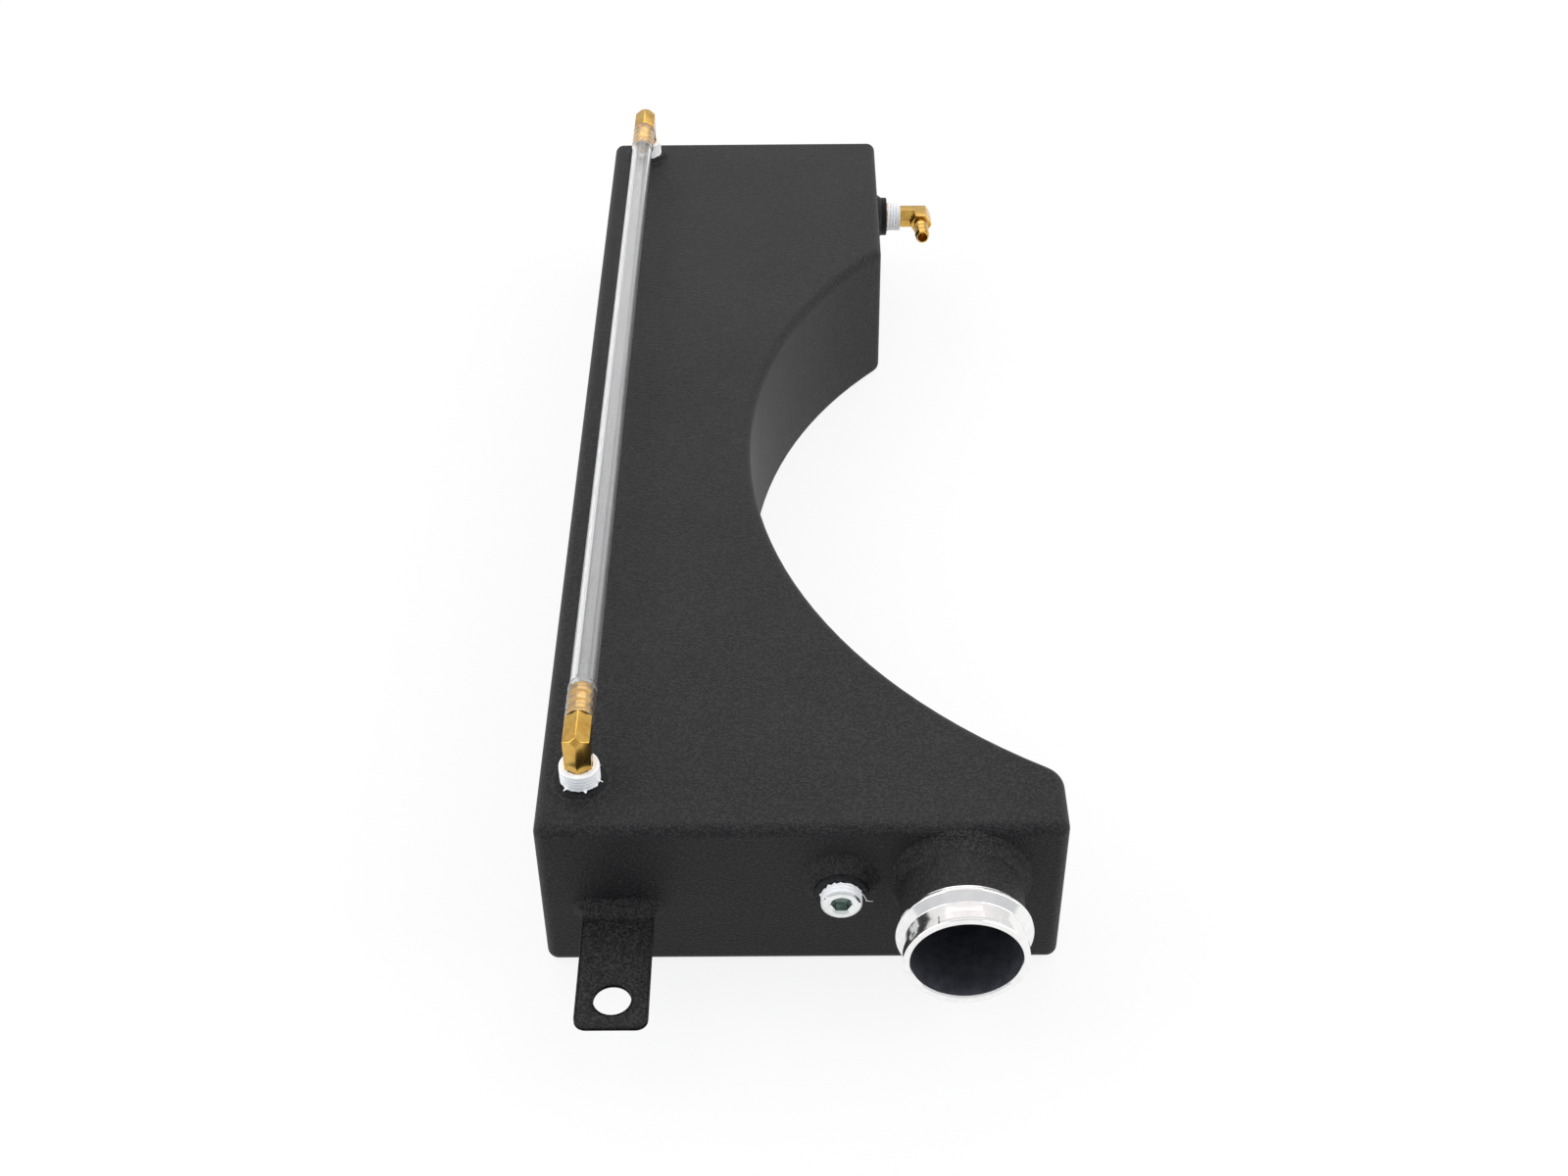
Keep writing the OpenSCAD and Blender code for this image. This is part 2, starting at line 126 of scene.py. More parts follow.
def startGroup(name, inputs, outputs):
    group = bpy.data.node_groups.new(name, "ShaderNodeTree")
    for label, kind, value in inputs:
        socket = group.interface.new_socket(name=label, in_out="INPUT", socket_type=kind)
        if value is not None:
            socket.default_value = value
    for label, kind in outputs:
        group.interface.new_socket(name=label, in_out="OUTPUT", socket_type=kind)
    return group, group.nodes.new("NodeGroupInput").outputs, group.nodes.new("NodeGroupOutput").inputs


def placeGroup(tree, group, **values):
    node = tree.nodes.new("ShaderNodeGroup")
    node.node_tree = group
    for key, value in values.items():
        node.inputs[key].default_value = value
    coordinates = tree.nodes.new("ShaderNodeTexCoord")
    tree.links.new(coordinates.outputs["Object"], node.inputs["Place"])
    return node


def addBump(tree, shader, height, strength, depth):
    bump = addNode(tree, "ShaderNodeBump", Strength=strength, Distance=depth)
    tree.links.new(height, bump.inputs["Height"])
    tree.links.new(bump.outputs["Normal"], shader.inputs["Normal"])


def cloud(group, place, scale, detail=2.0, rough=0.5):
    node = addNode(group, "ShaderNodeTexNoise", Scale=scale, Detail=detail, Roughness=rough)
    group.links.new(place, node.inputs["Vector"])
    return node.outputs["Fac"]


# Shared effects

def coatGrainGroup():
    group, given, out = startGroup(
        "coatGrain",
        [("Place", "NodeSocketVector", None), ("Weld", "NodeSocketFloat", 0.0),
         ("Coat", "NodeSocketColor", None), ("Dust", "NodeSocketColor", None)],
        [("Colour", "NodeSocketColor"), ("Roughness", "NodeSocketFloat"), ("Height", "NodeSocketFloat")])
    place = given["Place"]
    fine = ramp(group, cloud(group, place, 2100, 1.0, 0.5), 0.4, 0.64)
    coarse = ramp(group, cloud(group, place, 1150, 1.0, 0.5), 0.42, 0.64)
    broad = ramp(group, cloud(group, place, 14, 3.0, 0.6), 0.3, 0.7)
    speck = ramp(group, cloud(group, place, 800, 0.0, 0.5), 0.78, 0.83)
    grain = maths(group, "ADD", maths(group, "MULTIPLY", fine, 0.55), maths(group, "MULTIPLY", coarse, 0.45))
    weldGrain = maths(group, "MULTIPLY", coarse, maths(group, "ADD", given["Weld"], 0.3))
    light = maths(group, "ADD", maths(group, "MULTIPLY", grain, 0.36), maths(group, "MULTIPLY", broad, 0.16))
    light = maths(group, "ADD", light, maths(group, "MULTIPLY", weldGrain, 1.5))
    light = maths(group, "ADD", light, maths(group, "MULTIPLY", speck, 1.5))
    group.links.new(mixColour(group, light, given["Coat"], given["Dust"]), out["Colour"])
    rough = maths(group, "ADD", 0.42, maths(group, "MULTIPLY", grain, 0.2))
    group.links.new(rough, out["Roughness"])
    height = maths(group, "ADD", grain, maths(group, "MULTIPLY", weldGrain, 1.4))
    group.links.new(height, out["Height"])
    return group


def metalWearGroup():
    group, given, out = startGroup(
        "metalWear",
        [("Place", "NodeSocketVector", None), ("Clean", "NodeSocketColor", None), ("Stain", "NodeSocketColor", None),
         ("Smooth", "NodeSocketFloat", 0.15), ("Worn", "NodeSocketFloat", 0.35), ("Stretch", "NodeSocketVector", None)],
        [("Colour", "NodeSocketColor"), ("Roughness", "NodeSocketFloat"), ("Height", "NodeSocketFloat")])
    place = given["Place"]
    stretched = group.nodes.new("ShaderNodeVectorMath")
    stretched.operation = "MULTIPLY"
    group.links.new(place, stretched.inputs[0])
    group.links.new(given["Stretch"], stretched.inputs[1])
    marks = ramp(group, cloud(group, stretched.outputs[0], 1.0, 3.0, 0.6), 0.3, 0.7)
    blotch = ramp(group, cloud(group, place, 260, 3.0, 0.6), 0.4, 0.72)
    group.links.new(mixColour(group, blotch, given["Clean"], given["Stain"]), out["Colour"])
    spread = maths(group, "SUBTRACT", given["Worn"], given["Smooth"])
    mixed = maths(group, "ADD", maths(group, "MULTIPLY", marks, 0.6), maths(group, "MULTIPLY", blotch, 0.4))
    group.links.new(maths(group, "ADD", given["Smooth"], maths(group, "MULTIPLY", mixed, spread)), out["Roughness"])
    group.links.new(marks, out["Height"])
    return group


# Materials

coatLook = {"coat": (0.0028, 0.0036, 0.0052, 1), "dust": (0.040, 0.0375, 0.0375, 1), "bump": 0.8, "depth": 0.00022,
            "shine": 0.22}
brassLook = {"clean": (0.68, 0.43, 0.10, 1), "stain": (0.50, 0.27, 0.055, 1), "smooth": 0.13, "worn": 0.28}
machinedLook = {"clean": (0.93, 0.93, 0.92, 1), "stain": (0.87, 0.85, 0.845, 1), "smooth": 0.1, "worn": 0.19}
boreLook = {"clean": (0.11, 0.11, 0.125, 1), "stain": (0.17, 0.17, 0.19, 1), "smooth": 0.25, "worn": 0.5}
platedLook = {"clean": (0.86, 0.87, 0.86, 1), "stain": (0.74, 0.77, 0.75, 1), "smooth": 0.08, "worn": 0.16}
# socketLook: the socket's greenish grey tint, made darker as painted shade for the deep hex recess and the groove
socketLook = {"clean": (0.50, 0.57, 0.54, 1), "stain": (0.25, 0.30, 0.28, 1), "smooth": 0.2, "worn": 0.4}
# tapeLook glow is painted light: an emission strength that makes the tape glow brighter
tapeLook = {"base": (0.94, 0.94, 0.94, 1), "shade": (0.88, 0.89, 0.9, 1), "glow": 0.14}
tubeLook = {"base": (0.955, 0.96, 0.965, 1), "index": 1.47, "roughness": 0.01, "clear": 0.94}


def makePowderCoat(grainGroup):
    material, tree, shader = newMaterial("powderCoat")
    grain = placeGroup(tree, grainGroup, Coat=coatLook["coat"], Dust=coatLook["dust"])
    weld = tree.nodes.new("ShaderNodeAttribute")
    weld.attribute_name = "weld"
    tree.links.new(weld.outputs["Fac"], grain.inputs["Weld"])
    tree.links.new(grain.outputs["Colour"], shader.inputs["Base Color"])
    tree.links.new(grain.outputs["Roughness"], shader.inputs["Roughness"])
    shader.inputs["Specular IOR Level"].default_value = coatLook["shine"]
    addBump(tree, shader, grain.outputs["Height"], coatLook["bump"], coatLook["depth"])
    return material


def makeMetal(name, wearGroup, look, stretch, metallic=1.0, bump=0.15):
    material, tree, shader = newMaterial(name)
    wear = placeGroup(tree, wearGroup, Clean=look["clean"], Stain=look["stain"], Smooth=look["smooth"],
                      Worn=look["worn"], Stretch=stretch)
    tree.links.new(wear.outputs["Colour"], shader.inputs["Base Color"])
    tree.links.new(wear.outputs["Roughness"], shader.inputs["Roughness"])
    shader.inputs["Metallic"].default_value = metallic
    addBump(tree, shader, wear.outputs["Height"], bump, 0.00008)
    return material


def makeTape():
    material, tree, shader = newMaterial("threadTape")
    place = tree.nodes.new("ShaderNodeTexCoord").outputs["Object"]
    folds = ramp(tree, cloud(tree, place, 700, 3.0, 0.6), 0.35, 0.65)
    tree.links.new(mixColour(tree, folds, tapeLook["shade"], tapeLook["base"]), shader.inputs["Base Color"])
    shader.inputs["Roughness"].default_value = 0.45
    shader.inputs["Emission Color"].default_value = (1, 1, 1, 1)
    shader.inputs["Emission Strength"].default_value = tapeLook["glow"]  # painted glow: the tape emits light of its own so that it reads brighter, though it is no lamp
    addBump(tree, shader, folds, 0.25, 0.00015)
    return material


def makeClearTube():
    material, tree, shader = newMaterial("clearTube")
    place = tree.nodes.new("ShaderNodeTexCoord").outputs["Object"]
    haze = ramp(tree, cloud(tree, place, 60, 1.0, 0.5), 0.3, 0.7)
    tree.links.new(maths(tree, "ADD", tubeLook["roughness"], maths(tree, "MULTIPLY", haze, 0.015)),
                   shader.inputs["Roughness"])
    shader.inputs["Base Color"].default_value = tubeLook["base"]
    shader.inputs["Transmission Weight"].default_value = tubeLook["clear"]
    shader.inputs["IOR"].default_value = tubeLook["index"]
    return material


grainGroup = coatGrainGroup()
wearGroup = metalWearGroup()
powderCoat = makePowderCoat(grainGroup)
brass = makeMetal("barBrass", wearGroup, brassLook, (420, 60, 60), bump=0.08)
machined = makeMetal("machinedAluminium", wearGroup, machinedLook, (25, 3200, 25), bump=0.05)
darkBore = makeMetal("darkBore", wearGroup, boreLook, (1500, 30, 1500), metallic=0.3, bump=0.3)
# painted shade: darker tinted metal for the plug's hex socket and groove ring
socketTintAndShade = makeMetal("socketTintAndShade", wearGroup, socketLook, (900, 900, 900))
plated = makeMetal("platedSteel", wearGroup, platedLook, (500, 500, 500))
threadTape = makeTape()
clearTube = makeClearTube()
print("materials made")


# Mesh helpers

def addPiece(name, points, faces, materials, stands=(), faceMaterials=None, weld=None, sharp=35):
    mesh = bpy.data.meshes.new(name)
    mesh.from_pydata([tuple(p) for p in points], [], faces)
    for material in materials:
        mesh.materials.append(material)
    if faceMaterials:
        mesh.polygons.foreach_set("material_index", faceMaterials)
    if weld:
        attribute = mesh.attributes.new("weld", "FLOAT", "POINT")
        attribute.data.foreach_set("value", weld)
    return finishPiece(bpy.data.objects.new(name, mesh), stands, sharp)


def finishPiece(piece, stands, sharp):
    bpy.context.scene.collection.objects.link(piece)
    mesh = piece.data
    shape = bmesh.new()
    shape.from_mesh(mesh)
    bmesh.ops.remove_doubles(shape, verts=shape.verts, dist=1e-6)
    bmesh.ops.recalc_face_normals(shape, faces=shape.faces)
    shape.to_mesh(mesh)
    shape.free()
    mesh.polygons.foreach_set("use_smooth", [True] * len(mesh.polygons))
    mesh.set_sharp_from_angle(angle=math.radians(sharp))
    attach(piece, "root")
    if stands:
        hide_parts(*stands)
    return piece


def joinRows(rows, closedRows=False, closedRing=True):
    points = [p for row in rows for p in row]
    wide = len(rows[0])
    last = len(rows) if closedRows else len(rows) - 1
    faces = []
    for i in range(last):
        for k in range(wide if closedRing else wide - 1):
            a, b = i * wide, ((i + 1) % len(rows)) * wide
            n = (k + 1) % wide
            faces.append((a + k, a + n, b + n, b + k))
    return points, faces


def roundProfile(corners, radius, steps=4):
    made = []
    count = len(corners)
    for i, corner in enumerate(corners):
        here = Vector(corner[:2])
        back, ahead = Vector(corners[i - 1][:2]), Vector(corners[(i + 1) % count][:2])
        size = corner[3] if len(corner) > 3 else radius
        if here.x < 1e-6 or size == 0:
            made.append((here.x, here.y, corner[2]))
            continue
        reach = min(size, (back - here).length * 0.45, (ahead - here).length * 0.45)
        start = here + (back - here).normalized() * reach
        end = here + (ahead - here).normalized() * reach
        for s in range(steps + 1):
            t = s / steps
            p = start.lerp(here, t).lerp(here.lerp(end, t), t)
            made.append((p.x, p.y, corners[i - 1][2] if t < 0.5 else corner[2]))
    return made


def lathe(profile, place, steps=128, closed=True):
    rows = []
    for r, h, _ in profile:
        rows.append([place @ Vector((r * math.cos(a) * mm, r * math.sin(a) * mm, h * mm))
                     for a in (2 * math.pi * k / steps for k in range(steps))])
    points, faces = joinRows(rows, closedRows=closed)
    inUse = [f for f in faces]
    marks = []
    last = len(profile) if closed else len(profile) - 1
    for i in range(last):
        marks += [profile[i][2]] * steps
    return points, inUse, marks


def centreOf(node):
    low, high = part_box(node)
    return (low + high) / 2


def wobble(x, y, z=0.0):
    return noise.noise(Vector((x, y, z)))


# Where things are, from the frame

shellLow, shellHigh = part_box("folded_shell")
frontY, topZ = shellLow.y, shellHigh.z
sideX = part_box("back_seam")[1].x
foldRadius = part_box("left_seam")[1].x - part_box("left_seam")[0].x
neckAt, plugAt = centreOf("filler_neck"), centreOf("plug_bung")
lowerAt, upperAt, sideAt = centreOf("lower_bung"), centreOf("upper_bung"), centreOf("side_bung")
topSeat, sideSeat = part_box("lower_tape")[1].z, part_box("side_tape")[1].x
tubeSkew = math.atan2(upperAt.x - lowerAt.x, upperAt.y - lowerAt.y)

frontTurn = Matrix.Rotation(math.radians(90), 4, "X")
sideTurn = Matrix.Rotation(math.radians(90), 4, "Y")


def onFront(centre, out=0.0):
    return Matrix.Translation((centre.x, frontY - out * mm, centre.z)) @ frontTurn


def onTop(centre, out=0.0):
    return Matrix.Translation((centre.x, centre.y, topZ + out * mm))


def onSide(centre, out=0.0):
    return Matrix.Translation((sideX + out * mm, centre.y, centre.z)) @ sideTurn


# Coated body

coatedNodes = ("folded_shell", "left_wall", "side_strip", "back_plate", "left_seam", "side_seam", "back_seam")


def coatBody():
    for name in coatedNodes:
        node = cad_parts[name]
        node.data.materials.clear()
        node.data.materials.append(powderCoat)
    for name, material in (("lower_bushing", brass), ("upper_bushing", brass), ("side_bushing", brass)):
        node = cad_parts[name]
        node.data.materials.clear()
        node.data.materials.append(material)


# Weld beads

beadSteps = {"along": 260, "across": 22}


def frontDip(z):
    over = z - (topZ - foldRadius)
    if over <= 0:
        return 0.0
    return foldRadius - math.sqrt(max(foldRadius ** 2 - over ** 2, 0.0))


def filletRow(edge, out, leg, rise, toWorld, phase, spec):
    row, weights = [], []
    across = beadSteps["across"]
    for s in range(across + 1):
        t = s / across
        angle = t * math.pi / 2
        hollow = Vector((1 - math.cos(angle), 1 - math.sin(angle)))
        straight = Vector((t, 1 - t))
        shape = straight.lerp(hollow, spec["hollow"])
        bead = math.sin(math.pi * min(t * 1.15, 1.0))
        ripple = spec["ripple"] * math.sin(phase * spec["pitch"] + 2.2 * t * t) * bead
        lump = spec["lump"] * wobble(phase * spec["lumpPitch"], t * 2.5, spec["seed"]) * bead
        grow = 1 + (ripple + lump) / max(leg, 1.0)
        away = shape.x * leg * grow
        high = shape.y * rise * grow - spec["sink"] * t * t
        row.append(toWorld(edge + out * away * mm, high))
        weights.append(math.sin(math.pi * min(1.0, t * 1.05)) ** 0.8)
    return row, weights


def makeBead(name, outline, toWorld, spec, stands=()):
    rows, weights = [], []
    steps = beadSteps["along"]
    for k in range(steps):
        edge, out, leg, rise, phase = outline(k / steps)
        row, weight = filletRow(edge, out, leg, rise, toWorld, phase, spec)
        rows.append(row)
        weights += weight
    points, faces = joinRows(rows, closedRows=True, closedRing=False)
    return addPiece(name, points, faces, [powderCoat], stands, weld=weights, sharp=80)


def frontWorld(flat, high):
    return Vector((flat.x, frontY - high * mm + frontDip(flat.y) * max(0.0, 1 - high / 3.0), flat.y))


def topWorld(flat, high):
    return Vector((flat.x, flat.y, topZ + high * mm))


def sideWorld(flat, high):
    return Vector((sideX + high * mm, flat.x, flat.y))


def roundOutline(centre, radius, leg, rise, drop=0.0):
    def outline(u):
        a = 2 * math.pi * u
        out = Vector((math.cos(a), math.sin(a)))
        share = 1 - drop * max(0.0, -math.sin(a))
        return centre + out * radius * mm, out, leg * share, rise * share, a
    return outline


neckWeld = {"radius": 21.3, "leg": 4.4, "rise": 5.4, "hollow": 0.75, "ripple": 0.14, "pitch": 34,
            "lump": 0.8, "lumpPitch": 2.2, "sink": 0.25, "seed": 3.1}
plugWeld = {"radius": 9.4, "leg": 5.4, "rise": 5.0, "hollow": 0.7, "ripple": 0.14, "pitch": 17,
            "lump": 0.9, "lumpPitch": 1.8, "sink": 0.3, "seed": 8.4}
sideWeld = {"radius": 9.4, "leg": 3.6, "rise": 3.8, "hollow": 0.4, "ripple": 0.14, "pitch": 17,
            "lump": 0.4, "lumpPitch": 1.8, "sink": 0.3, "seed": 5.7}
topWeld = {"radius": 9.4, "leg": 1.5, "rise": 1.1, "hollow": 0.5, "ripple": 0.1, "pitch": 18,
           "lump": 0.3, "lumpPitch": 1.8, "sink": 0.15, "seed": 1.9}


def makeRoundBead(name, spec, centre, toWorld, stands=(), drop=0.0):
    makeBead(name, roundOutline(centre, spec["radius"], spec["leg"], spec["rise"], drop), toWorld, spec, stands)


def makeBeads():
    flat = Vector((neckAt.x, neckAt.z))
    makeRoundBead("neckWeldBead", neckWeld, flat, frontWorld, ("neck_weld",))
    makeRoundBead("plugWeldBead", plugWeld, Vector((plugAt.x, plugAt.z)), frontWorld, ("bung_welds",), 0.35)
    makeRoundBead("sideWeldBead", sideWeld, Vector((sideAt.y, sideAt.z)), sideWorld)
    for name, centre in (("lowerWeldBead", lowerAt), ("upperWeldBead", upperAt)):
        makeRoundBead(name, topWeld, Vector((centre.x, centre.y)), topWorld)


tabWeld = {"top": 6.0, "topRise": 4.8, "side": 4.8, "under": 2.4, "hollow": 0.6, "ripple": 0.22,
           "pitch": 1.5, "lump": 0.8, "lumpPitch": 0.2, "sink": 0.25, "seed": 6.6}


def makeTabBead():
    low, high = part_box("mount_tab")
    wide, thick = (high.x - low.x) / mm, (high.z - low.z) / mm
    middle = Vector(((low.x + high.x) / 2, (low.z + high.z) / 2))
    around = 2 * (wide + thick)
    inset = 0.15

    def outline(u):
        s = u * around
        x0, z0 = wide / 2 - inset, thick / 2 - inset
        sides = ((wide, (-x0, z0), (1, 0), (0, 1)), (thick, (x0, z0), (0, -1), (1, 0)),
                 (wide, (x0, -z0), (-1, 0), (0, -1)), (thick, (-x0, -z0), (0, 1), (-1, 0)))
        travelled = 0.0
        for i, (length, start, along, out) in enumerate(sides):
            if s <= travelled + length or i == 3:
                part = (s - travelled) / length
                run = length - 2 * inset
                edge = Vector(start) + Vector(along) * run * part
                before, after = Vector(sides[i - 1][3]), Vector(sides[(i + 1) % 4][3])
                near = 3.0 / length if length > 5 else 0.5
                facing = Vector(out)
                if part < near:
                    facing = (facing + before * (1 - part / near)).normalized()
                elif part > 1 - near:
                    facing = (facing + after * (1 - (1 - part) / near)).normalized()
                up = max(0.0, facing.y)
                down = max(0.0, -facing.y)
                level = 1 - up - down
                leg = tabWeld["top"] * up + tabWeld["under"] * down + tabWeld["side"] * max(level, 0.0)
                rise = tabWeld["topRise"] * up + tabWeld["under"] * down + 3.0 * max(level, 0.0)
                return middle + edge * mm, facing, leg, rise, s
            travelled += length

    makeBead("tabWeldBead", outline, frontWorld, tabWeld, ("tab_weld",))


# Mounting tab

tabShape = {"corner": 4.0, "soft": 0.55, "holeRadius": 6.4, "holeAt": 39.4}


def makeTab():
    low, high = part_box("mount_tab")
    corner = tabShape["corner"] * mm
    outline = [Vector((low.x, frontY)), Vector((low.x, low.y + corner))]
    arc = 10
    for k in range(arc + 1):
        a = math.pi + k / arc * math.pi / 2
        outline.append(Vector((low.x + corner + corner * math.cos(a), low.y + corner + corner * math.sin(a))))
    for k in range(arc + 1):
        a = 1.5 * math.pi + k / arc * math.pi / 2
        outline.append(Vector((high.x - corner + corner * math.cos(a), low.y + corner + corner * math.sin(a))))
    outline += [Vector((high.x, frontY))]
    hole = Vector(((low.x + high.x) / 2, frontY - tabShape["holeAt"] * mm))
    radius = tabShape["holeRadius"] * mm
    steps = 96
    ring = []
    for k in range(steps):  # where a ray from the hole leaves the outline
        a = 2 * math.pi * (k + 0.5) / steps
        ray = Vector((math.cos(a), math.sin(a)))
        best = None
        for i in range(len(outline)):
            p, q = outline[i], outline[(i + 1) % len(outline)]
            d = q - p
            cross = ray.x * d.y - ray.y * d.x
            if abs(cross) < 1e-12:
                continue
            t = ((p.x - hole.x) * d.y - (p.y - hole.y) * d.x) / cross
            s = ((p.x - hole.x) * ray.y - (p.y - hole.y) * ray.x) / cross
            if t > 0 and -1e-6 <= s <= 1 + 1e-6 and (best is None or t < best):
                best = t
        ring.append((ray, best))
    soft = tabShape["soft"] * mm
    section = []
    for k in range(5):
        a = k / 4 * math.pi / 2
        section.append((soft * (1 - math.sin(a)), soft * (1 - math.cos(a))))
    rows = []
    for fromEdge, fromTop in section[::-1]:  # outer edge, bottom to top
        rows.append([(ray, far - fromEdge, low.z + fromTop) for ray, far in ring])
    for fromEdge, fromTop in section:
        rows.append([(ray, far - fromEdge, high.z - fromTop) for ray, far in ring])
    for share in (0.25, 0.5, 0.75):
        rows.append([(ray, far + (radius - far) * share, high.z) for ray, far in ring])
    for fromEdge, fromTop in section[::-1]:
        rows.append([(ray, radius + fromEdge, high.z - fromTop) for ray, _ in ring])
    for fromEdge, fromTop in section:
        rows.append([(ray, radius + fromEdge, low.z + fromTop) for ray, _ in ring])
    rows = [[Vector((hole.x + ray.x * r, hole.y + ray.y * r, z)) for ray, r, z in row] for row in rows]
    points, faces = joinRows(rows, closedRows=True)
    count = len(points)
    addPiece("tabPlate", points, faces, [powderCoat], ("mount_tab",), weld=[0.05] * count, sharp=40)


# Weld bungs

bungShape = {"radius": 9.5, "bore": 6.9, "soft": 0.7, "inside": 6.5, "dark": -0.6}


def makeBung(name, node, place, out):
    r, bore, inside = bungShape["radius"], bungShape["bore"], -bungShape["inside"]
    corners = [(bore, inside, 0, 0.1), (r - 1.1, inside, 0, 0.1), (r - 1.1, -0.4, 0, 0.1), (r, -0.4, 0, 0.1),
               (r, out, 0, bungShape["soft"]), (bore, out, 0, 0.35)]
    points, faces, _ = lathe(roundProfile(corners, 0.3), place, 96)
    addPiece(name, points, faces, [powderCoat], (node,), weld=[bungShape["dark"]] * len(points))


def makeBungs():
    topOut = (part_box("lower_bung")[1].z - topZ) / mm
    frontOut = (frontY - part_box("plug_bung")[0].y) / mm
    sideOut = (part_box("side_bung")[1].x - sideX) / mm
    makeBung("lowerBungRing", "lower_bung", onTop(lowerAt), topOut)
    makeBung("upperBungRing", "upper_bung", onTop(upperAt), topOut)
    makeBung("plugBungRing", "plug_bung", onFront(plugAt), frontOut)
    makeBung("sideBungRing", "side_bung", onSide(sideAt), sideOut)
    return topOut, frontOut, sideOut


# Filler neck

neckShape = {"tube": 21.3, "bore": 18.7, "mouth": 35.35, "ring": 23.35, "ringAt": 23.1, "ringEdge": 0.9,
             "groove": 20.6, "lip": 3.8, "lugRadius": 22.3, "lugAngle": 58, "paintEnd": 20.4}


def makeNeck():
    n = neckShape
    ringBack = n["ring"] - n["tube"]
    coneEnd = n["ringAt"] + n["ringEdge"] + n["ring"] - n["groove"]
    lipStart = n["mouth"] - n["lip"]
    coat, bare, bore = 0, 1, 2
    corners = [
        (n["bore"], -2.4, coat, 0.1), (n["tube"], -2.4, coat, 0.1), (n["tube"], n["paintEnd"], bare, 0.05),
        (n["tube"], n["ringAt"] - ringBack, bare, 0.3), (n["ring"], n["ringAt"], bare, 0.12),
        (n["ring"], n["ringAt"] + n["ringEdge"], bare, 0.12), (n["groove"], coneEnd, bare, 0.15),
        (n["groove"], lipStart, bare, 0.12), (n["tube"], lipStart, bare, 0.12),
        (n["tube"], n["mouth"], bare, 0.35), (n["bore"] + 0.45, n["mouth"], bare, 0.08),
        (n["bore"], n["mouth"] - 0.6, bore, 0.08)]
    points, faces, marks = lathe(roundProfile(corners, 0.1), onFront(neckAt), 192)
    addPiece("neckBody", points, faces, [powderCoat, machined, darkBore], ("filler_neck",),
             faceMaterials=marks, sharp=28)
    makeLugs(n, lipStart)


def makeLugs(n, lipStart):
    place = onFront(neckAt)
    half = math.radians(n["lugAngle"] / 2)
    steps = 40
    for name, middle in (("upperLug", math.pi / 2), ("lowerLug", -math.pi / 2)):
        rows = []
        for k in range(steps + 1):
            a = middle - half + 2 * half * k / steps
            fade = min(1.0, min(k, steps - k) / 2 * 0.9 + 0.1)
            outer = n["tube"] - 0.2 + (n["lugRadius"] - n["tube"] + 0.2) * fade
            section = [(n["tube"] - 0.9, lipStart + 0.15), (outer - 0.15, lipStart + 0.15), (outer, lipStart + 0.3),
                       (outer, n["mouth"] - 0.55), (outer - 0.2, n["mouth"] - 0.3), (n["tube"] - 0.9, n["mouth"] - 0.3)]
            rows.append([place @ Vector((r * math.cos(a) * mm, r * math.sin(a) * mm, h * mm)) for r, h in section])
        points, faces = joinRows(rows)
        wide = len(rows[0])
        faces.append(tuple(range(wide)))
        faces.append(tuple(range(len(points) - wide, len(points))))
        addPiece(name, points, faces, [machined], sharp=30)


# Drain plug

plugShape = {"radius": 6.75, "out": 4.7, "flats": 6.35, "leadIn": 4.15, "depth": 4.6, "inside": 6.0}


def makePlug():
    p = plugShape
    bright, shade = 0, 1
    place = onFront(plugAt, (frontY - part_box("plug_bung")[0].y) / mm)
    steps = 96
    hexRadius = p["flats"] / math.sqrt(3)

    def hexAt(a):
        turn = (a + math.pi / 6) % (math.pi / 3) - math.pi / 6
        return hexRadius * math.cos(math.pi / 6) / math.cos(abs(turn) - math.pi / 6)

    rows = []
    profile = [(0.0, -p["inside"]), (p["radius"], -p["inside"]), (p["radius"], p["out"] - 1.05),
               (p["radius"] - 0.12, p["out"] - 0.95), (p["radius"] - 0.12, p["out"] - 0.72),
               (p["radius"] - 0.2, p["out"] - 0.6), (p["radius"] - 0.75, p["out"] - 0.12),
               (p["radius"] - 1.05, p["out"]), (p["leadIn"] + 0.12, p["out"]), (p["leadIn"], p["out"] - 0.08)]
    angles = [2 * math.pi * k / steps for k in range(steps)]
    for r, h in profile:
        rows.append([(r, a, h) for a in angles])
    rows.append([(min(hexAt(a), p["leadIn"]), a, p["out"] - 0.75) for a in angles])
    rows.append([(hexAt(a) * 0.995, a, p["out"] - p["depth"]) for a in angles])
    rows.append([(0.0, a, p["out"] - p["depth"] - 0.9) for a in angles])
    rows = [[place @ Vector((r * math.cos(a) * mm, r * math.sin(a) * mm, h * mm)) for r, a, h in row] for row in rows]
    points, faces = joinRows(rows)
    marks = [bright] * len(faces)
    for row in (2, 3, len(profile), len(profile) + 1):  # the groove and the socket, given the darker material as painted shade
        marks[row * steps:(row + 1) * steps] = [shade] * steps
    addPiece("socketPlug", points, faces, [plated, socketTintAndShade], ("drain_plug",), faceMaterials=marks,
             sharp=25)


# Sealing tape

tapeShape = {"pitch": 1.41, "ridge": 0.1, "rough": 0.07, "ragged": 0.5, "steps": 220, "rows": 30}


